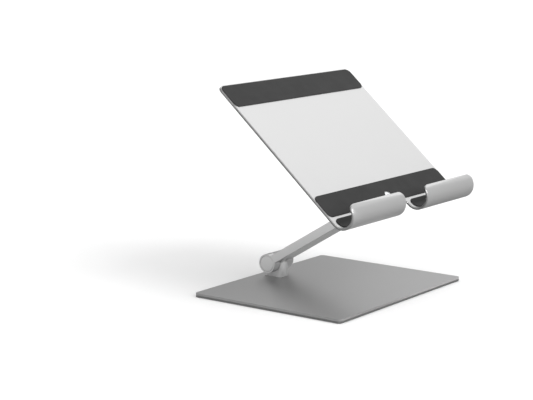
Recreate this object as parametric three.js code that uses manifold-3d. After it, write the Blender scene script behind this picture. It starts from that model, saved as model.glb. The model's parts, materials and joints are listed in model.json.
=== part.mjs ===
// Folding tablet stand: a base plate, an arm with a friction hinge at each end, and a tray whose
// lower edge curls into two hooks. Millimetres, +Z up. The user sits at -Y, +X is the user's right.
// The origin is the centre of the mat's underside, on the desk.

import * as THREE from 'three';
import { mergeVertices } from 'three/addons/utils/BufferGeometryUtils.js';
import Module from 'manifold-3d';

const wasm = await Module();
wasm.setup();

// Base.
const MAT_THICKNESS = 0.4;
const MAT_INSET = 2;
const BASE_WIDTH = 172;
const BASE_DEPTH = 136.6;
const BASE_THICKNESS = 3.1;
const BASE_CORNER = 3;
const BASE_BEVEL = 0.3;
const SEAM = 0.02;
const PLATE_BOTTOM = MAT_THICKNESS + SEAM;
const PLATE_TOP = PLATE_BOTTOM + BASE_THICKNESS;

// Hinges: the same parts serve at both ends of the arm.
const KNUCKLE_RADIUS = 7.75;
const HINGE_WIDTH = 26;
const EYE_WIDTH = 9.8;
const SLOT_WIDTH = 10.8;
const SLOT_REACH = 8.4;
const PIN_RADIUS = 3;
const PIN_CLEARANCE = 0.08;
const BUSH_RADIUS = 4.2;
const WASHER_RADIUS = 6.2;
const WASHER_THICKNESS = 0.4;
const WEB_THICKNESS = 2.6;
const POCKET_RADIUS = 5.4;
const CAP_RADIUS = 6.4;
const CAP_THICKNESS = 1.3;
const CAP_RECESS = 1.4;
const PIN_HEAD_RADIUS = 4.6;
const PIN_HEAD_HEIGHT = 2.4;
const SPRING_RADIUS = 4.9;
const SPRING_THICKNESS = 0.4;
const SPRING_RISE = 0.25;
const NUT_ACROSS_FLATS = 8.2;
const NUT_HEIGHT = 1.9;
const PLAY = 0.05;

// Where the arm stands at rest.
const HINGE_Y = 53.2;
const HINGE_HEIGHT = 15;
const ARM_LENGTH = 111.8;
const ARM_TILT = 31.3;
const ARM_THICKNESS = 6.85;
const ARM_RISE = 0.62;

// Tray, measured from the upper pivot: up the slope, and out of the tray's face.
const TRAY_TILT = 41;
const TRAY_WIDTH = 171;
const TRAY_THICKNESS = 1.95;
const TRAY_BACK = 11.05;
const TRAY_TOP = 125.5;
const TRAY_CORNER = 5;
const BEND_CENTRE = -15.5;
const BEND_RADIUS = 10.65;
const BEND_SWEEP = 170;
const LIP_LENGTH = 3;
const LIP_CORNER = 5;
const GAP_WIDTH = 31.5;
const GAP_TOP = -12.4;

// Pads and liners.
const PAD_THICKNESS = 0.5;
const PAD_WIDTH = 170.2;
const PAD_CORNER = 4.5;
const UPPER_PAD = [103, 124.4];
const LOWER_PAD = [-9.4, 10.8];
const PAD_HOLE_RADIUS = 4.2;
const LINER_THICKNESS = 0.55;
const LINER_START = -11.8;
const LINER_SWEEP = 165;
const LINER_INSET = 3.5;
const LINER_CORNER = 3.5;

// Bracket behind the tray.
const BRACKET_THICKNESS = 3;
const BRACKET_SPAN = [-11.5, 12.5];
const CENTRE_SCREW_Y = -3.6;
const SIDE_SCREW = [9, 7];

const FACETS = 48;

const finish = {
  aluminium: { color: 0xb4b6b8, roughness: 0.42, metalness: 1 },
  steel: { color: 0x9a9da1, roughness: 0.3, metalness: 1 },
  bronze: { color: 0xa9824f, roughness: 0.45, metalness: 1 },
  rubber: { color: 0x3a3b3d, roughness: 0.85, metalness: 0 },
  nylon: { color: 0xe6e3da, roughness: 0.6, metalness: 0 },
};

const group = new THREE.Group();
group.name = 'tablet_stand';

// Adds one piece to the stand, in its own material.
function add(name, geometry, look) {
  const material = new THREE.MeshStandardMaterial(finish[look]);
  material.name = look;
  const mesh = new THREE.Mesh(geometry, material);
  mesh.name = name;
  group.add(mesh);
}

// Turns a geometry into a solid that can be cut and joined.
function solid(geometry) {
  const bare = geometry.clone();
  bare.deleteAttribute('normal');
  bare.deleteAttribute('uv');
  const merged = mergeVertices(bare, 1e-4);
  const mesh = new wasm.Mesh({
    numProp: 3,
    vertProperties: new Float32Array(merged.attributes.position.array),
    triVerts: new Uint32Array(merged.index.array),
  });
  return new wasm.Manifold(mesh);
}

// Turns a solid back into a geometry.
function shell(body) {
  const mesh = body.getMesh();
  const geometry = new THREE.BufferGeometry();
  geometry.setAttribute('position', new THREE.BufferAttribute(mesh.vertProperties, 3));
  geometry.setIndex(new THREE.BufferAttribute(mesh.triVerts, 1));
  geometry.computeVertexNormals();
  return geometry;
}

// Cuts tools from a blank and, if given, joins extras to it first.
function carve(blank, tools, extras = []) {
  let body = solid(blank);
  for (const extra of extras) {
    body = body.add(solid(extra));
  }
  for (const tool of tools) {
    body = body.subtract(solid(tool));
  }
  return shell(body);
}

// Rectangle with rounded corners, between two y values, centred on x = 0.
function padShape(width, low, high, radius) {
  const half = width / 2;
  const shape = new THREE.Shape();
  shape.moveTo(half - radius, low);
  shape.absarc(half - radius, low + radius, radius, -Math.PI / 2, 0);
  shape.absarc(half - radius, high - radius, radius, 0, Math.PI / 2);
  shape.absarc(radius - half, high - radius, radius, Math.PI / 2, Math.PI);
  shape.absarc(radius - half, low + radius, radius, Math.PI, Math.PI * 1.5);
  return shape;
}

// Slab of a shape in the XY plane, from z = low to z = high, with its edges bevelled by bevel.
function slab(shape, low, high, bevel = 0) {
  const geometry = new THREE.ExtrudeGeometry(shape, {
    depth: high - low - 2 * bevel,
    bevelEnabled: bevel > 0,
    bevelThickness: bevel,
    bevelSize: bevel,
    bevelOffset: -bevel,
    bevelSegments: 2,
    curveSegments: 8,
  });
  return geometry.translate(0, 0, low + bevel);
}

// Bar whose cross-section is drawn as (y, z), from x = low to x = high.
function bar(shape, low, high, bevel = 0, curveSegments = FACETS / 2) {
  const geometry = new THREE.ExtrudeGeometry(shape, {
    depth: high - low - 2 * bevel,
    bevelEnabled: bevel > 0,
    bevelThickness: bevel,
    bevelSize: bevel,
    bevelOffset: -bevel,
    bevelSegments: 1,
    curveSegments,
  });
  geometry.translate(0, 0, low + bevel);
  const across = new THREE.Matrix4().makeBasis(
    new THREE.Vector3(0, 1, 0),
    new THREE.Vector3(0, 0, 1),
    new THREE.Vector3(1, 0, 0),
  );
  return geometry.applyMatrix4(across);
}

// Box between two corners.
function block(from, to) {
  const size = to.map((value, axis) => value - from[axis]);
  const centre = to.map((value, axis) => (value + from[axis]) / 2);
  return new THREE.BoxGeometry(...size).translate(...centre);
}

// Cylinder along X.
function roller(radius, low, high) {
  const geometry = new THREE.CylinderGeometry(radius, radius, high - low, FACETS);
  return geometry.rotateZ(-Math.PI / 2).translate((low + high) / 2, 0, 0);
}

// Body turned about X from a closed outline of (radius, x) points.
function turned(outline, segments = FACETS) {
  const points = outline.map(([radius, x]) => new THREE.Vector2(radius, x));
  return new THREE.LatheGeometry(points, segments).rotateZ(-Math.PI / 2);
}

// Ring along X with a square section.
function ring(inner, outer, low, high) {
  return turned([[inner, low], [outer, low], [outer, high], [inner, high], [inner, low]]);
}

// Countersunk screw along Z: head face at z = 0, shank pointing down. Oversize gives its hole.
function screw(head, shank, length, oversize = 0) {
  const reach = oversize > 0 ? oversize + 1 : 0;
  const taper = head - shank;
  const outline = [
    [0, -length - oversize],
    [shank + oversize, -length - oversize],
    [shank + oversize, -taper],
    [head + oversize, 0],
  ];
  if (reach > 0) {
    outline.push([head + oversize, reach]);
  }
  outline.push([0, reach]);
  const points = outline.map(([radius, z]) => new THREE.Vector2(radius, z));
  return new THREE.LatheGeometry(points, 32).rotateX(Math.PI / 2);
}

// What a rounded corner removes: the square at (x, y) less a quarter disc. The signs say which
// way the corner points.
function cornerCutter(x, y, signX, signY, radius, low, high) {
  const shape = new THREE.Shape();
  const steps = 8;
  shape.moveTo(x - signX * radius, y);
  for (let k = 1; k <= steps; k += 1) {
    const angle = (k / steps) * Math.PI / 2;
    const dx = radius * (Math.sin(angle) - 1);
    const dy = radius * (Math.cos(angle) - 1);
    shape.lineTo(x + signX * dx, y + signY * dy);
  }
  shape.lineTo(x + signX, y - signY * radius);
  shape.lineTo(x + signX, y + signY);
  shape.lineTo(x - signX * radius, y + signY);
  return slab(shape, low, high);
}

// Eye: a block with a rounded top whose bore is at (0, 0) and whose foot is at z = foot.
function eye(foot) {
  const shape = new THREE.Shape();
  shape.moveTo(-KNUCKLE_RADIUS, foot);
  shape.lineTo(KNUCKLE_RADIUS, foot);
  shape.lineTo(KNUCKLE_RADIUS, 0);
  shape.absarc(0, 0, KNUCKLE_RADIUS, 0, Math.PI);
  return bar(shape, -EYE_WIDTH / 2, EYE_WIDTH / 2, 0.2);
}

const eyeBore = roller(BUSH_RADIUS + PLAY, -EYE_WIDTH, EYE_WIDTH);

// Places the arm and the tray: each is drawn level, with its pivot at the origin.
const lowerPivot = new THREE.Vector3(0, HINGE_Y, PLATE_BOTTOM + HINGE_HEIGHT);
const armTurn = new THREE.Matrix4().makeRotationX(-THREE.MathUtils.degToRad(ARM_TILT));
const armPlace = new THREE.Matrix4().setPosition(lowerPivot).multiply(armTurn);
const upperPivot = new THREE.Vector3(0, -ARM_LENGTH, 0).applyMatrix4(armPlace);
const trayTurn = new THREE.Matrix4().makeRotationX(THREE.MathUtils.degToRad(TRAY_TILT));
const trayPlace = new THREE.Matrix4().setPosition(upperPivot).multiply(trayTurn);
const upperHingePlace = new THREE.Matrix4().setPosition(upperPivot).multiply(armTurn);

// ---------------------------------------------------------------------------------------------
// Base: plate, mat, foot block and its two screws.

const FOOT_SCREW = { head: 3.8, shank: 2, length: 7.5, spacing: 9 };

function buildBase() {
  const halfDepth = BASE_DEPTH / 2;
  const outline = padShape(BASE_WIDTH, -halfDepth, halfDepth, BASE_CORNER);
  const screwHole = screw(FOOT_SCREW.head, FOOT_SCREW.shank, FOOT_SCREW.length, PLAY);
  const footScrew = screw(FOOT_SCREW.head, FOOT_SCREW.shank, FOOT_SCREW.length);
  const upright = new THREE.Matrix4().makeRotationX(Math.PI);
  const screwSites = [-1, 1].map((side) => {
    const y = HINGE_Y + side * FOOT_SCREW.spacing / 2;
    return new THREE.Matrix4().setPosition(0, y, PLATE_BOTTOM + 0.1).multiply(upright);
  });
  const holes = screwSites.map((site) => screwHole.clone().applyMatrix4(site));

  const plate = slab(outline, PLATE_BOTTOM, PLATE_TOP, BASE_BEVEL);
  add('base_plate', carve(plate, holes), 'aluminium');

  const matHalf = halfDepth - MAT_INSET;
  const matShape = padShape(BASE_WIDTH - 2 * MAT_INSET, -matHalf, matHalf, BASE_CORNER);
  add('base_mat', slab(matShape, 0, MAT_THICKNESS), 'rubber');

  const foot = PLATE_TOP + SEAM - lowerPivot.z;
  const lift = new THREE.Matrix4().setPosition(lowerPivot);
  const blockHoles = holes.map((hole) => hole.clone().applyMatrix4(lift.clone().invert()));
  const footBlock = carve(eye(foot), [eyeBore, ...blockHoles]);
  add('foot_block', footBlock.applyMatrix4(lift), 'aluminium');

  add('foot_screw_front', footScrew.clone().applyMatrix4(screwSites[0]), 'steel');
  add('foot_screw_back', footScrew.clone().applyMatrix4(screwSites[1]), 'steel');
}

// ---------------------------------------------------------------------------------------------
// Arm: a bar with a forked knuckle at each end.

function buildArm() {
  const half = HINGE_WIDTH / 2;
  const low = ARM_RISE - ARM_THICKNESS / 2;
  const high = ARM_RISE + ARM_THICKNESS / 2;
  const barShape = new THREE.Shape();
  barShape.moveTo(0, low);
  barShape.lineTo(0, high);
  barShape.lineTo(-ARM_LENGTH, high);
  barShape.lineTo(-ARM_LENGTH, low);
  const knuckles = [];
  const cuts = [];
  for (const y of [0, -ARM_LENGTH]) {
    const outward = y === 0 ? 1 : -1;
    const slotEnds = [y - outward * SLOT_REACH, y + outward * (KNUCKLE_RADIUS + 1)];
    const disc = new THREE.Shape();
    disc.absarc(y, 0, KNUCKLE_RADIUS, 0, 2 * Math.PI);
    knuckles.push(bar(disc, -half, half, 0.3));
    cuts.push(block(
      [-SLOT_WIDTH / 2, Math.min(...slotEnds), -KNUCKLE_RADIUS - 1],
      [SLOT_WIDTH / 2, Math.max(...slotEnds), KNUCKLE_RADIUS + 1],
    ));
    cuts.push(roller(PIN_RADIUS + PIN_CLEARANCE, -half - 1, half + 1).translate(0, y, 0));
    for (const side of [-1, 1]) {
      const web = side * (SLOT_WIDTH / 2 + WEB_THICKNESS);
      const face = side * (half + 1);
      const recess = side * (half - CAP_RECESS);
      const pocket = roller(POCKET_RADIUS, Math.min(web, face), Math.max(web, face));
      const seat = roller(CAP_RADIUS + PLAY, Math.min(recess, face), Math.max(recess, face));
      cuts.push(pocket.translate(0, y, 0), seat.translate(0, y, 0));
    }
  }
  const body = carve(bar(barShape, -half, half, 0.3), cuts, knuckles);
  add('arm', body.applyMatrix4(armPlace), 'aluminium');
}

// ---------------------------------------------------------------------------------------------
// The parts inside one hinge, along X about the origin.

function buildHinge(end, place) {
  const web = SLOT_WIDTH / 2 + WEB_THICKNESS;
  const put = (piece, geometry, look) => add(`${end}_${piece}`, geometry.applyMatrix4(place), look);

  const headTop = -web - PLAY - PIN_HEAD_HEIGHT;
  const pinEnd = HINGE_WIDTH / 2 - CAP_RECESS - 2 * PLAY;
  put('pin', turned([
    [0, headTop],
    [PIN_HEAD_RADIUS, headTop],
    [PIN_HEAD_RADIUS, -web - PLAY],
    [PIN_RADIUS, -web - PLAY],
    [PIN_RADIUS, pinEnd],
    [0, pinEnd],
  ]), 'steel');

  const bushHalf = EYE_WIDTH / 2 - PLAY;
  put('bush', ring(PIN_RADIUS + PIN_CLEARANCE, BUSH_RADIUS, -bushHalf, bushHalf), 'bronze');

  const washerLow = EYE_WIDTH / 2 + PLAY / 2;
  const washerHigh = washerLow + WASHER_THICKNESS;
  const bore = PIN_RADIUS + PIN_CLEARANCE;
  put('friction_washer_left', ring(bore, WASHER_RADIUS, -washerHigh, -washerLow), 'nylon');
  put('friction_washer_right', ring(bore, WASHER_RADIUS, washerLow, washerHigh), 'nylon');

  // Two conical springs, back to back.
  const innerFoot = web + PLAY;
  const apex = innerFoot + SPRING_THICKNESS + SPRING_RISE;
  put('spring_washer_inner', turned([
    [bore, innerFoot + SPRING_RISE],
    [SPRING_RADIUS, innerFoot],
    [SPRING_RADIUS, innerFoot + SPRING_THICKNESS],
    [bore, apex],
    [bore, innerFoot + SPRING_RISE],
  ]), 'steel');
  const outerTop = apex + PLAY + SPRING_THICKNESS + SPRING_RISE;
  put('spring_washer_outer', turned([
    [bore, apex + PLAY],
    [SPRING_RADIUS, outerTop - SPRING_THICKNESS],
    [SPRING_RADIUS, outerTop],
    [bore, outerTop - SPRING_RISE],
    [bore, apex + PLAY],
  ]), 'steel');

  const nutLow = outerTop + PLAY;
  const nutRadius = NUT_ACROSS_FLATS / Math.sqrt(3);
  const nutBlank = new THREE.CylinderGeometry(nutRadius, nutRadius, NUT_HEIGHT, 6);
  nutBlank.rotateZ(-Math.PI / 2).translate(nutLow + NUT_HEIGHT / 2, 0, 0);
  put('nut', carve(nutBlank, [roller(PIN_RADIUS + PLAY, nutLow - 1, nutLow + NUT_HEIGHT + 1)]), 'steel');

  const capOut = HINGE_WIDTH / 2 - (CAP_RECESS - CAP_THICKNESS) / 2;
  const cap = turned([
    [0, capOut - CAP_THICKNESS],
    [CAP_RADIUS, capOut - CAP_THICKNESS],
    [CAP_RADIUS, capOut - 0.25],
    [CAP_RADIUS - 0.25, capOut],
    [0, capOut],
  ]);
  put('cap_right', cap.clone(), 'aluminium');
  put('cap_left', cap.rotateZ(Math.PI), 'aluminium');
}

// ---------------------------------------------------------------------------------------------
// Tray: the bent sheet, its bracket and screws, the pads and the liners.

const trayFace = TRAY_BACK + TRAY_THICKNESS;
const bendHeight = TRAY_BACK + BEND_RADIUS;

// Strip along the tray's face that turns into the bend: outer and inner radius of the bend, its
// sweep, where the strip starts on the slope, and how far it runs on straight past the bend.
function bentStrip(outer, inner, sweep, start, lip) {
  const shape = new THREE.Shape();
  const first = -Math.PI / 2;
  const last = first - THREE.MathUtils.degToRad(sweep);
  const tip = (radius) => [
    BEND_CENTRE + radius * Math.cos(last) + lip * Math.sin(last),
    bendHeight + radius * Math.sin(last) - lip * Math.cos(last),
  ];
  shape.moveTo(start, bendHeight - outer);
  shape.lineTo(BEND_CENTRE, bendHeight - outer);
  shape.absarc(BEND_CENTRE, bendHeight, outer, first, last, true);
  if (lip > 0) {
    shape.lineTo(...tip(outer));
    shape.lineTo(...tip(inner));
  }
  shape.absarc(BEND_CENTRE, bendHeight, inner, last, first, false);
  shape.lineTo(start, bendHeight - inner);
  return shape;
}

function buildTray() {
  const half = TRAY_WIDTH / 2;
  const gap = GAP_WIDTH / 2;
  const inner = BEND_RADIUS - TRAY_THICKNESS;
  const section = bentStrip(BEND_RADIUS, inner, BEND_SWEEP, TRAY_TOP, LIP_LENGTH);
  const top = bendHeight + BEND_RADIUS + 1;
  const lipCutter = (x, sign) => {
    const cutter = cornerCutter(x, LIP_LENGTH, sign, 1, LIP_CORNER, 0, BEND_RADIUS + 1);
    const lean = THREE.MathUtils.degToRad(180 - BEND_SWEEP);
    return cutter.rotateX(lean).translate(0, BEND_CENTRE, bendHeight);
  };
  const centreScrew = { head: 3.7, shank: 2, length: 7 };
  const sideScrew = { head: 2.8, shank: 1.5, length: 4.4 };
  const [sideX, sideY] = SIDE_SCREW;
  const screws = [
    ['bracket_screw_centre', centreScrew, 0, CENTRE_SCREW_Y],
    ['bracket_screw_left', sideScrew, -sideX, sideY],
    ['bracket_screw_right', sideScrew, sideX, sideY],
  ];
  const headLevel = trayFace - PLAY;
  const screwHoles = screws.map(([, size, x, y]) => {
    return screw(size.head, size.shank, size.length, PLAY).translate(x, y, headLevel);
  });

  const cuts = [
    block([-gap, BEND_CENTRE - BEND_RADIUS - 1, TRAY_BACK - 1], [gap, GAP_TOP, top]),
    cornerCutter(half, TRAY_TOP, 1, 1, TRAY_CORNER, TRAY_BACK - 1, trayFace + 1),
    cornerCutter(-half, TRAY_TOP, -1, 1, TRAY_CORNER, TRAY_BACK - 1, trayFace + 1),
    lipCutter(half, 1),
    lipCutter(-half, -1),
    lipCutter(gap, -1),
    lipCutter(-gap, 1),
    ...screwHoles,
  ];
  add('tray', carve(bar(section, -half, half, 0, 20), cuts).applyMatrix4(trayPlace), 'aluminium');

  for (const [name, size, x, y] of screws) {
    const geometry = screw(size.head, size.shank, size.length).translate(x, y, headLevel);
    add(name, geometry.applyMatrix4(trayPlace), 'steel');
  }

  const plateTop = TRAY_BACK - SEAM;
  const plateShape = padShape(HINGE_WIDTH, ...BRACKET_SPAN, 2);
  const plate = slab(plateShape, plateTop - BRACKET_THICKNESS, plateTop);
  const lug = eye(BRACKET_THICKNESS / 2 - plateTop).rotateX(Math.PI);
  const bracket = carve(plate, [eyeBore, ...screwHoles], [lug]);
  add('bracket', bracket.applyMatrix4(trayPlace), 'aluminium');

  const padLow = trayFace + SEAM;
  const padHigh = padLow + PAD_THICKNESS;
  const upperPad = slab(padShape(PAD_WIDTH, ...UPPER_PAD, PAD_CORNER), padLow, padHigh);
  add('upper_pad', upperPad.applyMatrix4(trayPlace), 'rubber');
  const lowerShape = padShape(PAD_WIDTH, ...LOWER_PAD, PAD_CORNER);
  const hole = new THREE.Path();
  hole.absarc(0, CENTRE_SCREW_Y, PAD_HOLE_RADIUS, 0, 2 * Math.PI, true);
  lowerShape.holes.push(hole);
  add('lower_pad', slab(lowerShape, padLow, padHigh).applyMatrix4(trayPlace), 'rubber');

  const linerOuter = inner - SEAM;
  const linerSection = bentStrip(linerOuter, linerOuter - LINER_THICKNESS, LINER_SWEEP, LINER_START, 0);
  for (const [name, side] of [['liner_left', -1], ['liner_right', 1]]) {
    const ends = [side * (gap + LINER_INSET), side * (half - LINER_INSET)].sort((a, b) => a - b);
    const corners = [[ends[0], -1], [ends[1], 1]].map(([x, sign]) => {
      return cornerCutter(x, LINER_START, sign, 1, LINER_CORNER, trayFace - 1, bendHeight);
    });
    const liner = carve(bar(linerSection, ...ends, 0, 20), corners);
    add(name, liner.applyMatrix4(trayPlace), 'rubber');
  }
}

buildBase();
buildArm();
buildHinge('lower', armPlace);
buildHinge('upper', upperHingePlace);
buildTray();

export default group;
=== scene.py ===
"""Folding tablet stand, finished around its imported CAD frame.

The stand is a bead-blasted, anodised aluminium base plate with a cast foot block, a flat arm with a
friction hinge at each end, and a tray whose lower edge is folded into two hooks. Thin silicone pads
and liners grip the tablet. Everything is in metres, in the frame of the CAD model.
"""

import json
import math

import bmesh
import bpy
from mathutils import Matrix, Vector


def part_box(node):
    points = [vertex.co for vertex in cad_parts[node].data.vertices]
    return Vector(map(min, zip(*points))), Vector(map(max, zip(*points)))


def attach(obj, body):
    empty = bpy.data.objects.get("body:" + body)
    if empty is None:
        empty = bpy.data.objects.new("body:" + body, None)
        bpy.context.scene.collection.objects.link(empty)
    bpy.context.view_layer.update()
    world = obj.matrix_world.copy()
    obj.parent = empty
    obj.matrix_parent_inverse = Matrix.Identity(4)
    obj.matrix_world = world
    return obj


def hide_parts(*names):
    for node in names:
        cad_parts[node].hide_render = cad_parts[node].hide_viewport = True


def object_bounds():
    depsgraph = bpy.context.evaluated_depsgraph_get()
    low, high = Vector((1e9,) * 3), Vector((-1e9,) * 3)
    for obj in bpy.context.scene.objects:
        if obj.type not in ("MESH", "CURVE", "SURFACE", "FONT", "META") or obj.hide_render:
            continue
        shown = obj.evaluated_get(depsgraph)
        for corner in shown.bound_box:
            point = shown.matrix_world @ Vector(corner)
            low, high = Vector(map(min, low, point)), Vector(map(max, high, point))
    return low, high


bl_info = {
    "name": "Tablet Stand",
    "version": (1, 0, 0),
    "blender": (4, 5, 0),
    "location": "View3D > Sidebar > Stand",
    "description": "Builds the finished pieces of a folding tablet stand around its CAD frame",
    "category": "Object",
}

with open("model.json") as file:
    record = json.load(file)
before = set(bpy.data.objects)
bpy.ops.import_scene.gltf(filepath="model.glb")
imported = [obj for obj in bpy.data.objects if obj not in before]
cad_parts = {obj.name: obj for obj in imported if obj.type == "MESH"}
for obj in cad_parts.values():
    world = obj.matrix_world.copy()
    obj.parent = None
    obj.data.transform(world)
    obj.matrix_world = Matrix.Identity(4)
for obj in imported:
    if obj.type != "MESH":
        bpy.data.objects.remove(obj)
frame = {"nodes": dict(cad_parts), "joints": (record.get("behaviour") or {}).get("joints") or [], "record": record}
CAD_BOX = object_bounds()

MM = 0.001

# -------------------------------------------------------------------------------------------------
# Places, read from the frame. The arm and the tray are drawn level, with their pivot at the origin.

JOINTS = {joint["name"]: joint for joint in frame["joints"]}
MOUNTS = {mount["name"]: mount for mount in frame["record"]["mounts"]}
LOWER_PIVOT = Vector(JOINTS["arm_tilt"]["pos_m"])
UPPER_PIVOT = Vector(JOINTS["tray_tilt"]["pos_m"])
ARM_SPAN = UPPER_PIVOT - LOWER_PIVOT
ARM_LENGTH = ARM_SPAN.length
ARM_TURN = Matrix.Rotation(-math.atan2(ARM_SPAN.z, -ARM_SPAN.y), 4, "X")
TRAY_NORMAL = Vector(MOUNTS["tablet_rest"]["axis"])
TRAY_TURN = Matrix.Rotation(math.atan2(-TRAY_NORMAL.y, TRAY_NORMAL.z), 4, "X")

LEVEL = Matrix.Identity(4)
LOWER_PLACE = Matrix.Translation(LOWER_PIVOT)
ARM_PLACE = LOWER_PLACE @ ARM_TURN
UPPER_PLACE = Matrix.Translation(UPPER_PIVOT) @ ARM_TURN
TRAY_PLACE = Matrix.Translation(UPPER_PIVOT) @ TRAY_TURN


def local_box(node, place=LEVEL):
    """Lowest and highest corner of a CAD node, in the frame of a place."""
    back = place.inverted()
    points = [back @ vertex.co for vertex in frame["nodes"][node].data.vertices]
    low = Vector(min(point[axis] for point in points) for axis in range(3))
    high = Vector(max(point[axis] for point in points) for axis in range(3))
    return low, high


# Gap between faces that touch, clearance of a hole, and the reach of tools that cut right through.
SEAM = 0.02 * MM
PLAY = 0.05 * MM
PAST_FACE = 1 * MM
BORE_REACH = 10 * MM
CUT_THROUGH = 1.0

# Points nearer than this are one point: in an outline, and after a cut.
SAME_POINT = 1e-7
WELD = 1e-6

# The tray's sheet and its bend, in the tray's place.
TRAY_BACK = local_box("tray", TRAY_PLACE)[0].z
TRAY_FACE = local_box("upper_pad", TRAY_PLACE)[0].z - SEAM
SHEET = TRAY_FACE - TRAY_BACK
BEND_RADIUS = 10.65 * MM
BEND_SWEEP = math.radians(170)
BEND_LINE = local_box("tray", TRAY_PLACE)[0].y + BEND_RADIUS

# Screws: head radius, shank radius and length. Their shapes lie along X, so they are turned.
FOOT_SCREW = (3.8 * MM, 2.0 * MM, 7.5 * MM)
FRONT_SCREW_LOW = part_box("foot_screw_front")[0]
FOOT_SCREW_START = Vector((0, FRONT_SCREW_LOW.y + FOOT_SCREW[0], FRONT_SCREW_LOW.z))
FOOT_SCREW_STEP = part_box("foot_screw_back")[0] - FRONT_SCREW_LOW
TRAY_SCREW_SHANKS = {
    "bracket_screw_centre": 2.0 * MM,
    "bracket_screw_left": 1.5 * MM,
    "bracket_screw_right": 1.5 * MM,
}
UPWARD = Matrix.Rotation(-math.pi / 2, 4, "Y")
DOWNWARD = Matrix.Rotation(math.pi / 2, 4, "Y")

# A socket's width across flats and its depth, as shares of the head's radius, and its edges.
SOCKET_WIDTH = 0.66
SOCKET_DEPTH = 0.42
SCREW_EDGE = 0.12 * MM

# Room around a pin's head or nut, the bore and edge of a friction washer, and a cap's rim and edge.
POCKET_PLAY = 0.8 * MM
WASHER_BORE = 3.08 * MM
WASHER_EDGE = 0.08 * MM
CAP_RIM = 0.25 * MM
CAP_EDGE = 0.1 * MM

# The parts inside each hinge that keep their CAD shape, and the finish of each.
INNER_PARTS = {
    "pin": "steel",
    "bush": "bronze",
    "spring_washer_inner": "steel",
    "spring_washer_outer": "steel",
    "nut": "steel",
}

# -------------------------------------------------------------------------------------------------
# Colours and settings.


def linear(hex_colour):
    """An sRGB hex colour as the linear RGBA that the shaders take."""
    channels = [int(hex_colour[place : place + 2], 16) / 255 for place in (1, 3, 5)]
    flat = [c / 12.92 if c <= 0.04045 else ((c + 0.055) / 1.055) ** 2.4 for c in channels]
    return (*flat, 1.0)


def length_setting(name, description, millimetres):
    """A length that a user may change, shown in the scene's own unit."""
    return bpy.props.FloatProperty(
        name=name, description=description, default=millimetres * MM, precision=5, unit="LENGTH"
    )


def colour_setting(name, description, hex_colour):
    """A colour that a user may change."""
    return bpy.props.FloatVectorProperty(
        name=name, description=description, default=linear(hex_colour), size=4, subtype="COLOR"
    )


class StandSizes(bpy.types.PropertyGroup):
    """Sizes that the CAD frame doesn't hold."""

    plate_corner: length_setting("Plate corner", "Corner radius of the base plate", 3.0)
    plate_edge: length_setting("Plate edge", "Edge radius of the base plate", 0.3)
    machined_edge: length_setting("Machined edge", "Edge radius of the arm and the blocks", 0.3)
    sheet_edge: length_setting("Sheet edge", "Edge radius of the tray's sheet", 0.3)
    sheet_corner: length_setting("Sheet corner", "Corner radius of the tray and its lips", 5.0)
    lip_length: length_setting("Lip", "Straight lip beyond the hooks' bend", 3.0)
    gap_width: length_setting("Gap", "Width of the gap between the hooks", 31.5)
    gap_top: length_setting("Gap top", "Where the gap ends, along the slope from the pivot", -12.4)
    gap_fillet: length_setting("Gap fillet", "Corner radius at the gap's root", 1.5)
    pad_corner: length_setting("Pad corner", "Corner radius of the grip pads", 4.5)
    pad_edge: length_setting("Pad edge", "Edge radius of the pads, liners and mat", 0.15)
    pad_hole: length_setting("Pad hole", "Radius of the screw's hole in the lower pad", 4.2)
    liner_thickness: length_setting("Liner", "Thickness of the hooks' liners", 0.55)
    liner_corner: length_setting("Liner corner", "Corner radius of the liners", 3.5)
    liner_sweep: bpy.props.FloatProperty(
        name="Liner sweep",
        description="How far round the hook a liner goes",
        default=math.radians(165),
        unit="ROTATION",
        subtype="ANGLE",
    )
    arm_thickness: length_setting("Arm thickness", "Thickness of the arm's flat bar", 6.85)
    arm_rise: length_setting("Arm rise", "How far the bar's middle is above the pivots", 0.62)
    slot_width: length_setting("Slot width", "Width of the forks at the arm's ends", 10.8)
    slot_reach: length_setting("Slot reach", "Depth of a fork beyond its pivot", 8.4)
    web: length_setting("Web", "Wall between a fork and the pocket beside it", 2.6)
    pin_bore: length_setting("Pin bore", "Radius of the arm's pin holes", 3.08)
    bracket_thickness: length_setting("Bracket", "Thickness of the bracket's plate", 3.0)
    bracket_corner: length_setting("Bracket corner", "Corner radius of the bracket", 2.0)


class StandColours(bpy.types.PropertyGroup):
    """Colours of the stand and its stage."""

    aluminium: colour_setting("Aluminium", "Silver anodised, bead-blasted aluminium", "#B6B6B6")
    # The foot block's colour is paler than the aluminium: painted light that lifts it out of the shade of the arm
    # and tray.
    painted_light_casting: colour_setting("Casting", "Silver lacquered casting of the foot block", "#D8D8D8")
    silicone: colour_setting("Silicone", "Dark grey pads, liners and mat", "#202020")
    steel: colour_setting("Steel", "Bright turned steel of pins, nuts and screws", "#C6C7C9")
    bronze: colour_setting("Bronze", "Sintered bronze bushes", "#B08A5A")
    nylon: colour_setting("Nylon", "Natural nylon friction washers", "#E4E1D6")
    floor: colour_setting("Floor", "Plain pale floor", "#FAFAFA")


# -------------------------------------------------------------------------------------------------
# Nodes.


def add_node(tree, kind, settings=None, inputs=None):
    """Adds a node, sets its properties, and gives each input a value or another node's output."""
    made = tree.nodes.new(kind)
    for name, value in (settings or {}).items():
        setattr(made, name, value)
    for key, value in (inputs or {}).items():
        if isinstance(value, bpy.types.NodeSocket):
            tree.links.new(value, made.inputs[key])
        else:
            made.inputs[key].default_value = value
    return made


def new_finish(name, values):
    """A material with a Principled shader holding these values, and the tree's main nodes."""
    material = bpy.data.materials.new(name)
    material.use_nodes = True
    tree = material.node_tree
    tree.nodes.clear()
    shader = add_node(tree, "ShaderNodeBsdfPrincipled", inputs=values)
    add_node(tree, "ShaderNodeOutputMaterial", inputs={"Surface": shader.outputs[0]})
    place = add_node(tree, "ShaderNodeTexCoord").outputs["Object"]
    return material, tree, shader, place


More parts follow.
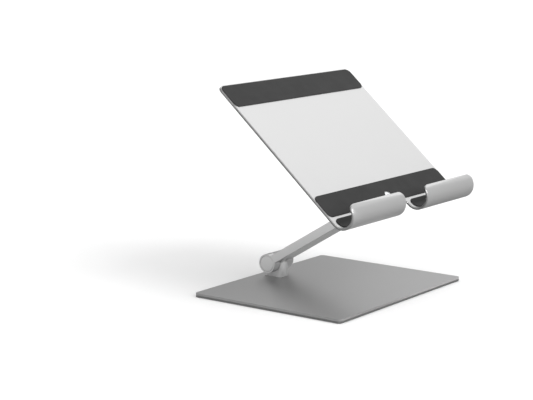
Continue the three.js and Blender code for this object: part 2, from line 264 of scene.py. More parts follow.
def grain(tree, place, size, detail=2.0, harshness=0.55):
    """Noise whose blotches are about size metres across."""
    return add_node(
        tree,
        "ShaderNodeTexNoise",
        inputs={"Vector": place, "Scale": 1 / size, "Detail": detail, "Roughness": harshness},
    ).outputs["Fac"]


def spread(tree, factor, low, high, least=0.3, most=0.7):
    """Maps the least..most that a noise usually spans to low..high."""
    limits = {"From Min": least, "From Max": most, "To Min": low, "To Max": high}
    inputs = {"Value": factor, **limits}
    return add_node(tree, "ShaderNodeMapRange", inputs=inputs).outputs["Result"]


def bump(tree, shader, height, strength, distance):
    """Raises the surface by a height, distance metres at full strength."""
    made = add_node(
        tree,
        "ShaderNodeBump",
        inputs={"Height": height, "Strength": strength, "Distance": distance},
    )
    tree.links.new(made.outputs["Normal"], shader.inputs["Normal"])


def anodised_aluminium(colours):
    """Aluminium, bead-blasted and silver anodised: a soft metallic satin with a very fine grain.

    The clear oxide film scatters some of the light, so the metal is not wholly a mirror, and its
    glancing reflections stay a little grey. The blast marks are about 0.1 mm across, too fine to
    show, so they are drawn at 0.7 mm. The acid bath leaves a faint cloudiness 45 mm wide.
    """
    glancing = 0.75
    material, tree, shader, place = new_finish(
        "anodised aluminium, bead-blasted",
        {
            "Base Color": colours.aluminium,
            "Metallic": 0.8,
            "Roughness": 0.33,
            "Specular Tint": (glancing, glancing, glancing, 1.0),
        },
    )
    blast = grain(tree, place, 0.7 * MM)
    cloud = grain(tree, place, 45 * MM, detail=3.0)
    # The cloudiness keeps half its contrast about the middle, and the blast marks add theirs.
    contrast = 0.5
    blast_share = 0.4
    fainter = add_node(
        tree,
        "ShaderNodeMath",
        {"operation": "MULTIPLY_ADD"},
        {0: cloud, 1: contrast, 2: (1 - contrast) / 2},
    )
    uneven = add_node(
        tree,
        "ShaderNodeMix",
        {"data_type": "FLOAT"},
        {"Factor": blast_share, 2: fainter.outputs[0], 3: blast},
    )
    satin = spread(tree, uneven.outputs[0], low=0.30, high=0.36)
    tree.links.new(satin, shader.inputs["Roughness"])
    bump(tree, shader, blast, strength=0.25, distance=0.012 * MM)
    return material


def painted_light_cast_aluminium(colours):
    """Die-cast aluminium, lacquered silver, drawn pale and rather dull: painted light, a paler and less metallic
    copy of the aluminium that lifts the foot block out of the shade it sits in.

    The mould's flow marks show through as a soft unevenness, 1.5 mm across.
    """
    material, tree, shader, place = new_finish(
        "cast aluminium, paled as painted light",
        {"Base Color": colours.painted_light_casting, "Metallic": 0.2, "Roughness": 0.42},
    )
    flow = grain(tree, place, 1.5 * MM)
    tree.links.new(spread(tree, flow, low=0.38, high=0.48), shader.inputs["Roughness"])
    bump(tree, shader, flow, strength=0.2, distance=0.015 * MM)
    return material


def silicone_rubber(colours):
    """Silicone rubber sheet, moulded against an eroded plate: dark, matt, with a leathery grain.

    The grain is 0.8 mm across, and dust makes patches of 12 mm a little duller.
    """
    material, tree, shader, place = new_finish(
        "silicone rubber, matt moulded",
        {"Base Color": colours.silicone, "Roughness": 0.72, "IOR": 1.41},
    )
    pores = grain(tree, place, 0.8 * MM, detail=3.0)
    dust = grain(tree, place, 12 * MM)
    tree.links.new(spread(tree, dust, low=0.70, high=0.76), shader.inputs["Roughness"])
    bump(tree, shader, pores, strength=0.5, distance=0.05 * MM)
    return material


def turned_steel(colours):
    """Stainless steel, turned and left bright: smooth, with faint machining marks 0.5 mm apart."""
    material, tree, shader, place = new_finish(
        "stainless steel, bright turned",
        {"Base Color": colours.steel, "Metallic": 1.0, "Roughness": 0.22},
    )
    marks = grain(tree, place, 0.5 * MM)
    tree.links.new(spread(tree, marks, low=0.18, high=0.30), shader.inputs["Roughness"])
    bump(tree, shader, marks, strength=0.2, distance=0.01 * MM)
    return material


def sintered_bronze(colours):
    """Oil-filled sintered bronze: warm, dull, with small open pores, drawn 0.4 mm across."""
    material, tree, shader, place = new_finish(
        "sintered bronze, oiled",
        {"Base Color": colours.bronze, "Metallic": 1.0, "Roughness": 0.45},
    )
    pores = grain(tree, place, 0.4 * MM, detail=4.0)
    tree.links.new(spread(tree, pores, low=0.35, high=0.6), shader.inputs["Roughness"])
    bump(tree, shader, pores, strength=0.5, distance=0.03 * MM)
    return material


def moulded_nylon(colours):
    """Natural nylon: off-white, slightly translucent, with a soft moulded gloss."""
    material, tree, shader, place = new_finish(
        "natural nylon, moulded",
        {
            "Base Color": colours.nylon,
            "Roughness": 0.45,
            "IOR": 1.53,
            "Subsurface Weight": 0.15,
            "Subsurface Scale": 0.5 * MM,
        },
    )
    flow = grain(tree, place, 2 * MM)
    tree.links.new(spread(tree, flow, low=0.4, high=0.52), shader.inputs["Roughness"])
    bump(tree, shader, flow, strength=0.2, distance=0.02 * MM)
    return material


FINISHES = {
    "aluminium": anodised_aluminium,
    "painted_light_casting": painted_light_cast_aluminium,
    "rubber": silicone_rubber,
    "steel": turned_steel,
    "bronze": sintered_bronze,
    "nylon": moulded_nylon,
}
MADE_FINISHES = {}


def finish_of(name):
    """A finish's material, made the first time it is asked for."""
    if name not in MADE_FINISHES:
        MADE_FINISHES[name] = FINISHES[name](bpy.context.scene.stand_colours)
    return MADE_FINISHES[name]


# -------------------------------------------------------------------------------------------------
# Outlines, as lists of points in a plane, anticlockwise.


def rounded(corners, steps=8):
    """A polygon from (x, y, radius) corners, each rounded by its own radius."""
    points = []
    for index, (x, y, radius) in enumerate(corners):
        corner = Vector((x, y))
        before = Vector(corners[index - 1][:2]) - corner
        after = Vector(corners[(index + 1) % len(corners)][:2]) - corner
        if radius == 0:
            points.append(corner)
            continue
        before.normalize()
        after.normalize()
        half = before.angle(after) / 2
        centre = corner + (before + after).normalized() * radius / math.sin(half)
        first = corner + before * radius / math.tan(half) - centre
        turn = first.angle_signed(corner + after * radius / math.tan(half) - centre)
        for step in range(steps + 1):
            points.append(centre + Matrix.Rotation(-turn * step / steps, 2) @ first)
    merged = [p for k, p in enumerate(points) if (p - points[k - 1]).length > SAME_POINT]
    return [tuple(point) for point in merged]


def rectangle(low, high, radius=0.0):
    """A rectangle between two corners, with rounded corners."""
    return rounded(
        [
            (low[0], low[1], radius),
            (high[0], low[1], radius),
            (high[0], high[1], radius),
            (low[0], high[1], radius),
        ]
    )


def arc(centre, radius, first, last, steps):
    """Points on an arc between two angles, both included."""
    angles = [first + (last - first) * step / steps for step in range(steps + 1)]
    return [(centre + radius * math.cos(a), radius * math.sin(a)) for a in angles]


def polygon(radius, sides, centre=0.0):
    """A regular polygon about a point on the first axis."""
    return arc(centre, radius, 0, 2 * math.pi * (sides - 1) / sides, sides - 1)


def dumbbell(length, radius, low, high, steps=72):
    """Side of the arm: a bar from low to high with a disc at 0 and one at -length."""
    reach_low = math.sqrt(radius**2 - low**2)
    reach_high = math.sqrt(radius**2 - high**2)
    near = arc(0, radius, math.atan2(low, -reach_low), math.atan2(high, -reach_high), steps)
    far_end = math.atan2(low, reach_low) + 2 * math.pi
    far = arc(-length, radius, math.atan2(high, reach_high), far_end, steps)
    return near + far


# -------------------------------------------------------------------------------------------------
# Meshes.


def prism(outline, low, high, across=False):
    """A solid from an outline: in XY between two heights or, across, in YZ between two x."""
    mesh = bmesh.new()
    rings = []
    for level in (low, high):
        placed = [(level, a, b) if across else (a, b, level) for a, b in outline]
        rings.append([mesh.verts.new(point) for point in placed])
    mesh.faces.new(reversed(rings[0]))
    mesh.faces.new(rings[1])
    for k in range(len(outline)):
        mesh.faces.new((rings[0][k - 1], rings[0][k], rings[1][k], rings[1][k - 1]))
    return mesh


def turned(outline, segments=96):
    """A solid turned about X from (radius, x) points. It starts and ends on the axis or closes."""
    mesh = bmesh.new()
    rings = []
    for radius, x in outline:
        count = segments if radius > 0 else 1
        turns = [2 * math.pi * k / segments for k in range(count)]
        spots = [(x, radius * math.cos(a), radius * math.sin(a)) for a in turns]
        rings.append([mesh.verts.new(spot) for spot in spots])
    closed = outline[0][0] > 0
    for index in range(0 if closed else 1, len(rings)):
        before, after = rings[index - 1], rings[index]
        for k in range(segments):
            a, b = before[(k - 1) % len(before)], before[k % len(before)]
            c, d = after[k % len(after)], after[(k - 1) % len(after)]
            mesh.faces.new(tuple(dict.fromkeys((a, b, c, d))))
    bmesh.ops.recalc_face_normals(mesh, faces=mesh.faces)
    return mesh


def soften(mesh, radius, segments=3, least=math.radians(32)):
    """Rounds every edge sharper than least."""
    sharp = [e for e in mesh.edges if e.is_manifold and e.calc_face_angle() > least]
    round_profile = 0.5
    bmesh.ops.bevel(
        mesh,
        geom=sharp,
        offset=radius,
        segments=segments,
        profile=round_profile,
        affect="EDGES",
    )
    return mesh


def new_object(name, mesh):
    """An object in the scene from a bmesh, which is freed."""
    data = bpy.data.meshes.new(name)
    mesh.to_mesh(data)
    mesh.free()
    made = bpy.data.objects.new(name, data)
    bpy.context.scene.collection.objects.link(made)
    return made


def settle(piece):
    """Turns a piece and its modifiers into a plain mesh."""
    bpy.context.view_layer.update()
    solved = piece.evaluated_get(bpy.context.evaluated_depsgraph_get())
    flat = bpy.data.meshes.new_from_object(solved)
    piece.modifiers.clear()
    piece.data = flat
    return piece


def carved(blank, tools, extras=()):
    """The blank joined to its extras, less its tools. All are bmeshes and are used up."""
    piece = new_object("blank", blank)
    helpers = []
    for operation, meshes in (("UNION", extras), ("DIFFERENCE", tools)):
        for mesh in meshes:
            helpers.append(new_object("helper", mesh))
            change = piece.modifiers.new(operation, "BOOLEAN")
            change.operation = operation
            change.solver = "EXACT"
            change.object = helpers[-1]
    settle(piece)
    mesh = bmesh.new()
    mesh.from_mesh(piece.data)
    for done in (piece, *helpers):
        bpy.data.objects.remove(done)
    bmesh.ops.remove_doubles(mesh, verts=mesh.verts, dist=WELD)
    bmesh.ops.dissolve_degenerate(mesh, edges=mesh.edges, dist=WELD)
    return mesh


def place_piece(piece, place, body, slot, nodes, finish=None, flat_weight=60):
    """Smooths a finished piece, puts it in place, hangs it from its body and hides the CAD nodes it stands for.

    Its finish is the slot's own unless another is named. The weight keeps large faces flat, so that
    only the rounded edges between them shade off.
    """
    piece.data.shade_smooth()
    level = piece.modifiers.new("flat faces stay flat", "WEIGHTED_NORMAL")
    level.keep_sharp = True
    level.weight = flat_weight
    settle(piece)
    piece.data.transform(place)
    piece.data.materials.clear()
    piece.data.materials.append(finish_of(finish or slot))
    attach(piece, body)
    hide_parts(*nodes)


# -------------------------------------------------------------------------------------------------
# Geometry Nodes.

FOLD = "Fold the lower edge"
ROW = "Row of copies"


def new_tree(name, inputs):
    """A Geometry Nodes tree with these named inputs, its input node and its output node."""
    tree = bpy.data.node_groups.new(name, "GeometryNodeTree")
    tree.is_modifier = True
    tree.interface.new_socket("Geometry", in_out="INPUT", socket_type="NodeSocketGeometry")
    for label, kind in inputs.items():
        tree.interface.new_socket(label, in_out="INPUT", socket_type=f"NodeSocket{kind}")
    tree.interface.new_socket("Geometry", in_out="OUTPUT", socket_type="NodeSocketGeometry")
    return tree, add_node(tree, "NodeGroupInput").outputs, tree.nodes.new("NodeGroupOutput")


def end_tree(tree, geometry, given, output):
    """Ends a tree: instances made real, and the finish put on."""
    real = add_node(tree, "GeometryNodeRealizeInstances", inputs={"Geometry": geometry})
    painted = add_node(
        tree,
        "GeometryNodeSetMaterial",
        inputs={"Geometry": real.outputs[0], "Material": given["Material"]},
    )
    tree.links.new(painted.outputs[0], output.inputs[0])
    return tree


def fold_tree():
    """Folds a flat blank about a line across it, as a press brake would.

    Height above the blank's back becomes depth inside the bend, and what is left beyond the sweep
    runs on straight.
    """
    tree, given, output = new_tree(
        FOLD,
        {
            "Bend Line": "Float",
            "Back": "Float",
            "Bend Radius": "Float",
            "Unroll Radius": "Float",
            "Sweep": "Float",
            "Material": "Material",
        },
    )

    def calculate(operation, first, second=0.0):
        node = add_node(tree, "ShaderNodeMath", {"operation": operation}, {0: first, 1: second})
        return node.outputs[0]

    position = add_node(tree, "GeometryNodeInputPosition").outputs[0]
    x, y, z = add_node(tree, "ShaderNodeSeparateXYZ", inputs={0: position}).outputs
    past = calculate("MAXIMUM", calculate("SUBTRACT", given["Bend Line"], y))
    turn = calculate("MINIMUM", calculate("DIVIDE", past, given["Unroll Radius"]), given["Sweep"])
    straight = calculate("SUBTRACT", past, calculate("MULTIPLY", turn, given["Unroll Radius"]))
    depth = calculate("SUBTRACT", z, given["Back"])
    radius = calculate("SUBTRACT", given["Bend Radius"], depth)
    sine = calculate("SINE", turn)
    cosine = calculate("COSINE", turn)

    def turned_off(along, across):
        """What a step along the straight lip and a step across the bend add up to."""
        run = calculate("MULTIPLY", straight, along)
        return calculate("SUBTRACT", run, calculate("MULTIPLY", radius, across))

    start = calculate("MAXIMUM", y, given["Bend Line"])
    back = calculate("MULTIPLY", cosine, -1.0)
    folded_y = calculate("ADD", start, turned_off(back, sine))
    centre = calculate("ADD", given["Back"], given["Bend Radius"])
    folded_z = calculate("ADD", centre, turned_off(sine, cosine))
    folded = add_node(tree, "ShaderNodeCombineXYZ", inputs={0: x, 1: folded_y, 2: folded_z})
    moved = add_node(
        tree,
        "GeometryNodeSetPosition",
        inputs={"Geometry": given["Geometry"], "Position": folded.outputs[0]},
    )
    return end_tree(tree, moved.outputs[0], given, output)


def row_tree():
    """Sets out copies of a part in a row, a step apart."""
    tree, given, output = new_tree(
        ROW, {"Count": "Int", "Start": "Vector", "Step": "Vector", "Material": "Material"}
    )
    line = add_node(
        tree,
        "GeometryNodeMeshLine",
        {"mode": "OFFSET"},
        {"Count": given["Count"], "Start Location": given["Start"], "Offset": given["Step"]},
    )
    copies = add_node(
        tree,
        "GeometryNodeInstanceOnPoints",
        inputs={"Points": line.outputs[0], "Instance": given["Geometry"]},
    )
    return end_tree(tree, copies.outputs[0], given, output)


TREES = {FOLD: fold_tree, ROW: row_tree}


def run_tree(piece, name, values):
    """Puts a piece through a tree with these input values, and keeps the result as its mesh."""
    tree = bpy.data.node_groups.get(name) or TREES[name]()
    modifier = piece.modifiers.new(name, "NODES")
    modifier.node_group = tree
    for item in tree.interface.items_tree:
        if item.in_out == "INPUT" and item.name in values:
            modifier[item.identifier] = values[item.name]
    return settle(piece)


# -------------------------------------------------------------------------------------------------
# Operators.


class TABLETSTAND_OT_stage(bpy.types.Operator):
    """Camera, pale floor and soft studio light"""

    bl_idname = "tablet_stand.stage"
    bl_label = "Stage"

    # Camera: a long lens from the front left, looking slightly down. Lens and sensor are in mm.
    eye = Vector((-984.3, -678.5, 289.2)) * MM
    heading = math.radians(37.0)
    pitch = math.radians(-10.33)
    lens = 104.6
    sensor = 36
    sight = (0.01, 100)

    # Half the floor's width.
    floor_reach = 12

    # A broad sun from the front, at some height.
    sun_way = Vector((-0.05, -0.83, 0.56))
    sun_width = math.radians(34)
    sun_energy = 1.4
    sun_distance = 2.0

    # Boxes that only the metal reflects, so that the floor keeps its one soft shadow: the way to
    # each, its width and height, and its power.
    boxes = {
        "tray_softbox": ((0.745, 0.12, 0.68), 1.4, 1.4, 6.6),
        "left_strip": ((-0.786, 0.592, -0.06), 1.6, 0.2, 2.8),
    }
    box_distance = 1.6

    # The studio around it all: the side that shines most, and its least and most strength.
    bright_way = (-0.5, -0.75, 0.75)
    dim = 0.30
    bright = 1.18

    def execute(self, context):
        self.add_camera(context.scene)
        self.add_floor(context.scene)
        self.add_light(context.scene)
        context.scene.view_settings.view_transform = "Standard"
        return {"FINISHED"}

    def add_camera(self, scene):
        camera = bpy.data.cameras.new("camera")
        camera.sensor_width = self.sensor
        camera.lens = self.lens
        camera.clip_start, camera.clip_end = self.sight
        seat = bpy.data.objects.new("camera", camera)
        scene.collection.objects.link(seat)
        level = math.cos(self.pitch)
        gaze = Vector(
            (math.cos(self.heading) * level, math.sin(self.heading) * level, math.sin(self.pitch))
        )
        seat.location = self.eye
        seat.rotation_euler = gaze.to_track_quat("-Z", "Y").to_euler()
        scene.camera = seat

    def add_floor(self, scene):
        """A matt floor. Reflections and light from below pass through it."""
        mesh = bmesh.new()
        bmesh.ops.create_grid(mesh, x_segments=1, y_segments=1, size=self.floor_reach)
        floor = new_object("floor", mesh)
        paint, tree, shader, place = new_finish(
            "painted floor, matt", {"Base Color": scene.stand_colours.floor, "Roughness": 0.9}
        )
        bump(tree, shader, grain(tree, place, size=0.3), strength=0.02, distance=1 * MM)
        floor.data.materials.append(paint)
        floor.visible_glossy = False
        floor.visible_shadow = False

    def add_light(self, scene):
        scene.world = self.studio()
        key = bpy.data.lights.new("key", "SUN")
        key.angle = self.sun_width
        key.energy = self.sun_energy
        self.hang(scene, key, self.sun_way, self.sun_distance)
        for name, (way, width, height, power) in self.boxes.items():
            box = bpy.data.lights.new(name, "AREA")
            box.shape = "RECTANGLE"
            box.size = width
            box.size_y = height
            box.energy = power
            holder = self.hang(scene, box, Vector(way), self.box_distance)
            holder.visible_camera = False
            holder.visible_diffuse = False

    def studio(self):
        """Soft light from all sides, strongest from above and the front left.

        The camera sees it plain white behind the floor.
        """
        world = bpy.data.worlds.new("studio")
        world.use_nodes = True
        tree = world.node_tree
        way = add_node(tree, "ShaderNodeTexCoord").outputs["Generated"]
        facing = add_node(
            tree,
            "ShaderNodeVectorMath",
            {"operation": "DOT_PRODUCT"},
            {0: way, 1: self.bright_way},
        ).outputs["Value"]
        glow = spread(tree, facing, self.dim, self.bright, least=-1.0, most=1.0)
        seen = add_node(tree, "ShaderNodeLightPath").outputs["Is Camera Ray"]
        strength = add_node(
            tree, "ShaderNodeMix", {"data_type": "FLOAT"}, {"Factor": seen, 2: glow, 3: 1.0}
        )
        tree.links.new(strength.outputs[0], tree.nodes["Background"].inputs["Strength"])
        tree.nodes["Background"].inputs["Color"].default_value = (1, 1, 1, 1)
        return world

    def hang(self, scene, lamp, way, distance):
        """Puts a lamp some way off from the stand's middle, shining back at it."""
        holder = bpy.data.objects.new(lamp.name, lamp)
        scene.collection.objects.link(holder)
        holder.location = (CAD_BOX[0] + CAD_BOX[1]) / 2 + way.normalized() * distance
        holder.rotation_euler = way.to_track_quat("Z", "Y").to_euler()
        return holder


def disc(radius, low, high, y=0.0, sides=72):
    """A short cylinder along X, centred on (y, 0)."""
    return prism(polygon(radius, sides, y), low, high, across=True)


def countersunk(head, shank, length, play=0.0, segments=48):
    """A countersunk screw along X with its head's face at x = 0. With play, it is the hole."""
    above = [(0, -PAST_FACE), (head + play, -PAST_FACE)] if play else [(0, 0.0)]
    below = [
        (head + play, 0),
        (shank + play, head - shank),
        (shank + play, length + play),
        (0, length + play),
    ]
    return turned(above + below, segments)


def socket_screw(head, shank, length):
    """A countersunk screw with a hexagon socket in its head."""
    socket = polygon(head * SOCKET_WIDTH / math.sqrt(3), 6)
    cutter = prism(socket, -PAST_FACE, head * SOCKET_DEPTH, across=True)
    return soften(carved(countersunk(head, shank, length), [cutter]), SCREW_EDGE, segments=2)


def eye_block(foot, edge):
    """A block with a round top, down to the height of its foot. The eye's centre is the origin."""
    radius = local_box("foot_block", LOWER_PLACE)[1].y
    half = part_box("foot_block")[1].x
    corners = [(-radius, foot, 0), (radius, foot, 0), (radius, radius, radius)]
    outline = rounded([*corners, (-radius, radius, radius)], steps=36)
    return soften(prism(outline, -half, half, across=True), edge)


def eye_bore():
    """The hole for the bush in an eye."""
    radius = local_box("lower_bush", LOWER_PLACE)[1].y + PLAY
    return disc(radius, -BORE_REACH, BORE_REACH)


class TABLETSTAND_OT_base(bpy.types.Operator):
    """Base plate, anti-slip mat and foot block"""

    bl_idname = "tablet_stand.base"
    bl_label = "Base"

    def execute(self, context):
        sizes = context.scene.stand_sizes
        low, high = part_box("base_plate")
        plate = prism(rectangle(low, high, sizes.plate_corner), low.z, high.z)
        plate = carved(soften(plate, sizes.plate_edge), self.holes(LEVEL))
        plate = new_object("plate", plate)
        place_piece(plate, LEVEL, "base", "aluminium", ["base_plate"])

        low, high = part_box("base_mat")
        mat = prism(rectangle(low, high, sizes.plate_corner), low.z, high.z)
        mat = new_object("mat", soften(mat, sizes.pad_edge))
        place_piece(mat, LEVEL, "base", "rubber", ["base_mat"])

        foot = eye_block(local_box("foot_block", LOWER_PLACE)[0].z, sizes.machined_edge)
        foot = carved(foot, [eye_bore(), *self.holes(LOWER_PLACE.inverted())])
        foot = new_object("foot", foot)
        # The foot block takes the paler casting finish: painted light against the shade it sits in.
        place_piece(foot, LOWER_PLACE, "base", "aluminium", ["foot_block"], finish="painted_light_casting")
        return {"FINISHED"}

    def holes(self, place):
        """The holes of the two foot screws, seen from a place."""
        made = []
        for site in (FOOT_SCREW_START, FOOT_SCREW_START + FOOT_SCREW_STEP):
            hole = countersunk(*FOOT_SCREW, play=PLAY)
            hole.transform(place @ Matrix.Translation(site) @ UPWARD)
            made.append(hole)
        return made


class TABLETSTAND_OT_arm(bpy.types.Operator):
    """Arm with a forked, pocketed knuckle at each end"""

    bl_idname = "tablet_stand.arm"
    bl_label = "Arm"

    def execute(self, context):
        sizes = context.scene.stand_sizes
        half, radius, _ = local_box("arm", ARM_PLACE)[1]
        bar_low = sizes.arm_rise - sizes.arm_thickness / 2
        bar_high = sizes.arm_rise + sizes.arm_thickness / 2
        side = dumbbell(ARM_LENGTH, radius, bar_low, bar_high)
        cap_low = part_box("lower_cap_right")[0].x
        cap_radius = local_box("lower_cap_right", LOWER_PLACE)[1].z
        slot = sizes.slot_width / 2
        pin_radius = local_box("lower_pin", LOWER_PLACE)[1].z

        # At each end: the fork's slot, the pin's hole, a pocket for its head or nut, a cap's seat.
        tools = []
        for y, outward in ((0.0, 1), (-ARM_LENGTH, -1)):
            ends = sorted((y - outward * sizes.slot_reach, y + outward * 2 * radius))
            corners = [(ends[0], -2 * radius), (ends[1], -2 * radius)]
            corners += [(ends[1], 2 * radius), (ends[0], 2 * radius)]
            tools.append(prism(corners, -slot, slot, across=True))
            tools.append(disc(sizes.pin_bore, -2 * half, 2 * half, y))
            for ends in ((slot + sizes.web, 2 * half), (-2 * half, -slot - sizes.web)):
                tools.append(disc(pin_radius + POCKET_PLAY, *ends, y))
            for ends in ((cap_low - PLAY, 2 * half), (-2 * half, PLAY - cap_low)):
                tools.append(disc(cap_radius + PLAY, *ends, y))
        arm = carved(prism(side, -half, half, across=True), tools)
        arm = new_object("arm_bar", soften(arm, sizes.machined_edge))
        place_piece(arm, ARM_PLACE, "arm", "aluminium", ["arm"])
        return {"FINISHED"}


class TABLETSTAND_OT_hinges(bpy.types.Operator):
    """Caps and friction washers of both hinges, and the finishes of the parts inside"""

    bl_idname = "tablet_stand.hinges"
    bl_label = "Hinges"

    def execute(self, context):
        self.add_rows("cap", "aluminium", self.cap)
        self.add_rows("friction_washer", "nylon", self.washer)
        for end in ("lower", "upper"):
            for part, slot in INNER_PARTS.items():
                frame["nodes"][f"{end}_{part}"].material_slots[0].material = finish_of(slot)
        return {"FINISHED"}

    def add_rows(self, part, slot, builder):
        """One row for each side of the stand: a copy at the lower pivot and one at the upper."""
        for side in ("left", "right"):
            low, high = local_box(f"lower_{part}_{side}", LOWER_PLACE)
            mesh = builder(low, high, 1 if side == "right" else -1)
            row = run_tree(
                new_object(f"{part}s_{side}", mesh),
                ROW,
                {"Count": 2, "Start": LOWER_PIVOT, "Step": ARM_SPAN, "Material": finish_of(slot)},
            )
            nodes = [f"{end}_{part}_{side}" for end in ("lower", "upper")]
            place_piece(row, LEVEL, "arm", slot, nodes)

    def cap(self, low, high, side):
        """A turned cap with a bevelled rim, its face on the outer side."""
        inside, face = (low.x, high.x) if side > 0 else (high.x, low.x)
        outline = [
            (0, inside),
            (high.z, inside),
            (high.z, face - side * CAP_RIM),
            (high.z - CAP_RIM, face),
            (0, face),
        ]
        return soften(turned(outline), CAP_EDGE, segments=2, least=math.radians(40))

    def washer(self, low, high, side):
        """A flat ring around the pin, the same on either side."""
        edge = high.z
        outline = [(WASHER_BORE, low.x), (edge, low.x), (edge, high.x), (WASHER_BORE, high.x)]
        return soften(turned(outline), WASHER_EDGE, segments=2)


class TABLETSTAND_OT_tray(bpy.types.Operator):
    """Tray sheet with its two hooks, folded from a flat blank"""

    bl_idname = "tablet_stand.tray"
    bl_label = "Tray"

    def execute(self, context):
        sizes = context.scene.stand_sizes
        half, top, _ = local_box("tray", TRAY_PLACE)[1]
        unroll = (BEND_RADIUS + BEND_RADIUS - SHEET) / 2
        end = BEND_LINE - BEND_SWEEP * unroll - sizes.lip_length
        corner = sizes.sheet_corner
        gap = sizes.gap_width / 2
        outline = rounded(
            [
                (-half, end, corner),
                (-gap, end, corner),
                (-gap, sizes.gap_top, sizes.gap_fillet),
                (gap, sizes.gap_top, sizes.gap_fillet),
                (gap, end, corner),
                (half, end, corner),
                (half, top, corner),
                (-half, top, corner),
            ]
        )
        blank = soften(prism(outline, TRAY_BACK, TRAY_FACE), sizes.sheet_edge)
        blank = score(carved(blank, tray_screw_holes()), unroll)
        values = {
            "Bend Line": BEND_LINE,
            "Back": TRAY_BACK,
            "Bend Radius": BEND_RADIUS,
            "Unroll Radius": unroll,
            "Sweep": BEND_SWEEP,
            "Material": finish_of("aluminium"),
        }
        sheet = run_tree(new_object("tray_sheet", blank), FOLD, values)
        place_piece(sheet, TRAY_PLACE, "tray", "aluminium", ["tray"])
        return {"FINISHED"}


def score(mesh, unroll, steps=40):
    """Cuts a flat blank across at even steps of the bend, so that it can fold there.

    The unroll radius is that of the layer whose length the bend doesn't change.
    """
    for step in range(steps + 1):
        line = BEND_LINE - BEND_SWEEP * unroll * step / steps
        parts = [*mesh.verts, *mesh.edges, *mesh.faces]
        bmesh.ops.bisect_plane(mesh, geom=parts, plane_co=(0, line, 0), plane_no=(0, 1, 0))
    return mesh


def tray_screw_sites():
    """Each tray screw's name, sizes and head centre, in the tray's place."""
    for name, shank in TRAY_SCREW_SHANKS.items():
        low, high = local_box(name, TRAY_PLACE)
        centre = (low + high) / 2
        size = ((high.x - low.x) / 2, shank, high.z - low.z)
        yield name, size, Vector((centre.x, centre.y, high.z))


def tray_screw_holes():
    """The holes of the three tray screws."""
    made = []
    for _, size, head in tray_screw_sites():
        hole = countersunk(*size, play=PLAY)
        hole.transform(Matrix.Translation(head) @ DOWNWARD)
        made.append(hole)
    return made


class TABLETSTAND_OT_bracket(bpy.types.Operator):
    """Bracket behind the tray: a plate with an eye for the arm's upper fork"""

    bl_idname = "tablet_stand.bracket"
    bl_label = "Bracket"

    def execute(self, context):
        sizes = context.scene.stand_sizes
        low, high = local_box("bracket", TRAY_PLACE)
        outline = rectangle(low, high, sizes.bracket_corner)
        underside = high.z - sizes.bracket_thickness
        plate = soften(prism(outline, underside, high.z), sizes.machined_edge)
        lug = eye_block(-high.z + sizes.bracket_thickness / 2, sizes.machined_edge)
        lug.transform(Matrix.Rotation(math.pi, 4, "X"))
        bracket = carved(plate, [eye_bore(), *tray_screw_holes()], [lug])
        bracket = new_object("lug_plate", bracket)
        place_piece(bracket, TRAY_PLACE, "tray", "aluminium", ["bracket"])
        return {"FINISHED"}


class TABLETSTAND_OT_pads(bpy.types.Operator):
    """Grip pads on the tray and liners in its hooks"""

    bl_idname = "tablet_stand.pads"
    bl_label = "Pads and liners"

    def execute(self, context):
        sizes = context.scene.stand_sizes
        for node, name in (("upper_pad", "top_pad"), ("lower_pad", "bottom_pad")):
            low, high = local_box(node, TRAY_PLACE)
            pad = prism(rectangle(low, high, sizes.pad_corner), low.z, high.z)
            if node == "lower_pad":
                pad = carved(pad, [self.hole(sizes.pad_hole)])
            pad = new_object(name, soften(pad, sizes.pad_edge))
            place_piece(pad, TRAY_PLACE, "tray", "rubber", [node])
        for side in ("left", "right"):
            self.add_liner(sizes, side)
        return {"FINISHED"}

    def hole(self, radius, sides=48):
        """The round hole that shows the centre screw, which is the first."""
        _, _, head = next(tray_screw_sites())
        made = prism(polygon(radius, sides), -CUT_THROUGH, CUT_THROUGH)
        made.transform(Matrix.Translation((head.x, head.y, 0)))
        return made

    def add_liner(self, sizes, side):
        """One liner: a flat strip with rounded corners, folded with the hook."""
        low, high = local_box(f"liner_{side}", TRAY_PLACE)
        radius = BEND_RADIUS - SHEET - SEAM
        unroll = radius - sizes.liner_thickness / 2
        end = BEND_LINE - sizes.liner_sweep * unroll
        outline = rectangle((low.x, end), (high.x, high.y), sizes.liner_corner)
        back = TRAY_FACE + SEAM
        strip = soften(prism(outline, back, back + sizes.liner_thickness), sizes.pad_edge)
        values = {
            "Bend Line": BEND_LINE,
            "Back": back,
            "Bend Radius": radius,
            "Unroll Radius": unroll,
            "Sweep": BEND_SWEEP,
            "Material": finish_of("rubber"),
        }
        liner = new_object(f"hook_liner_{side}", score(strip, unroll))
        liner = run_tree(liner, FOLD, values)
        place_piece(liner, TRAY_PLACE, "tray", "rubber", [f"liner_{side}"])


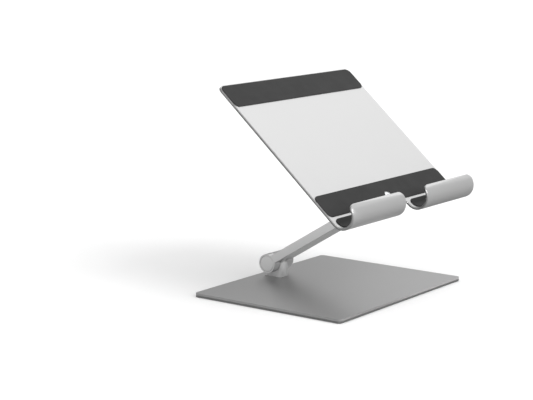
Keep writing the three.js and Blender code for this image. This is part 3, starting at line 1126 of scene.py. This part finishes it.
class TABLETSTAND_OT_screws(bpy.types.Operator):
    """Countersunk socket screws of the foot and the tray"""

    bl_idname = "tablet_stand.screws"
    bl_label = "Screws"

    def execute(self, context):
        screw = socket_screw(*FOOT_SCREW)
        screw.transform(UPWARD)
        nodes = ["foot_screw_front", "foot_screw_back"]
        self.add_row("foot_screws", screw, FOOT_SCREW_START, FOOT_SCREW_STEP, 2, nodes, "base")
        sites = {name: (size, head) for name, size, head in tray_screw_sites()}
        size, head = sites["bracket_screw_centre"]
        self.add_tray_row("tray_screw", size, head, Vector(), 1, ["bracket_screw_centre"])
        size, head = sites["bracket_screw_left"]
        step = sites["bracket_screw_right"][1] - head
        nodes = ["bracket_screw_left", "bracket_screw_right"]
        self.add_tray_row("side_screws", size, head, step, 2, nodes)
        return {"FINISHED"}

    def add_tray_row(self, name, size, head, step, count, nodes):
        """A row of screws pointing down into the tray."""
        screw = socket_screw(*size)
        screw.transform(DOWNWARD)
        self.add_row(name, screw, head, step, count, nodes, "tray", TRAY_PLACE)

    def add_row(self, name, screw, start, step, count, nodes, body, place=LEVEL):
        """A row of screws that stands for these nodes."""
        values = {"Count": count, "Start": start, "Step": step, "Material": finish_of("steel")}
        row = run_tree(new_object(name, screw), ROW, values)
        place_piece(row, place, body, "steel", nodes)


class TABLETSTAND_PT_panel(bpy.types.Panel):
    """Lists the stand's operators and settings"""

    bl_label = "Tablet stand"
    bl_idname = "TABLETSTAND_PT_panel"
    bl_space_type = "VIEW_3D"
    bl_region_type = "UI"
    bl_category = "Stand"

    def draw(self, context):
        for name in STEPS:
            self.layout.operator(f"tablet_stand.{name}")
        for settings in (context.scene.stand_sizes, context.scene.stand_colours):
            box = self.layout.box()
            for name in settings.bl_rna.properties.keys():
                if name not in {"rna_type", "name"}:
                    box.prop(settings, name)


STEPS = ("stage", "base", "arm", "hinges", "tray", "bracket", "pads", "screws")

CLASSES = (
    StandSizes,
    StandColours,
    TABLETSTAND_OT_stage,
    TABLETSTAND_OT_base,
    TABLETSTAND_OT_arm,
    TABLETSTAND_OT_hinges,
    TABLETSTAND_OT_tray,
    TABLETSTAND_OT_bracket,
    TABLETSTAND_OT_pads,
    TABLETSTAND_OT_screws,
    TABLETSTAND_PT_panel,
)


def register():
    for cls in CLASSES:
        bpy.utils.register_class(cls)
    bpy.types.Scene.stand_sizes = bpy.props.PointerProperty(type=StandSizes)
    bpy.types.Scene.stand_colours = bpy.props.PointerProperty(type=StandColours)


def unregister():
    del bpy.types.Scene.stand_colours
    del bpy.types.Scene.stand_sizes
    for cls in reversed(CLASSES):
        bpy.utils.unregister_class(cls)


def main():
    """Builds the whole stand."""
    register()
    for name in STEPS:
        getattr(bpy.ops.tablet_stand, name)()


if __name__ == "__main__":
    main()
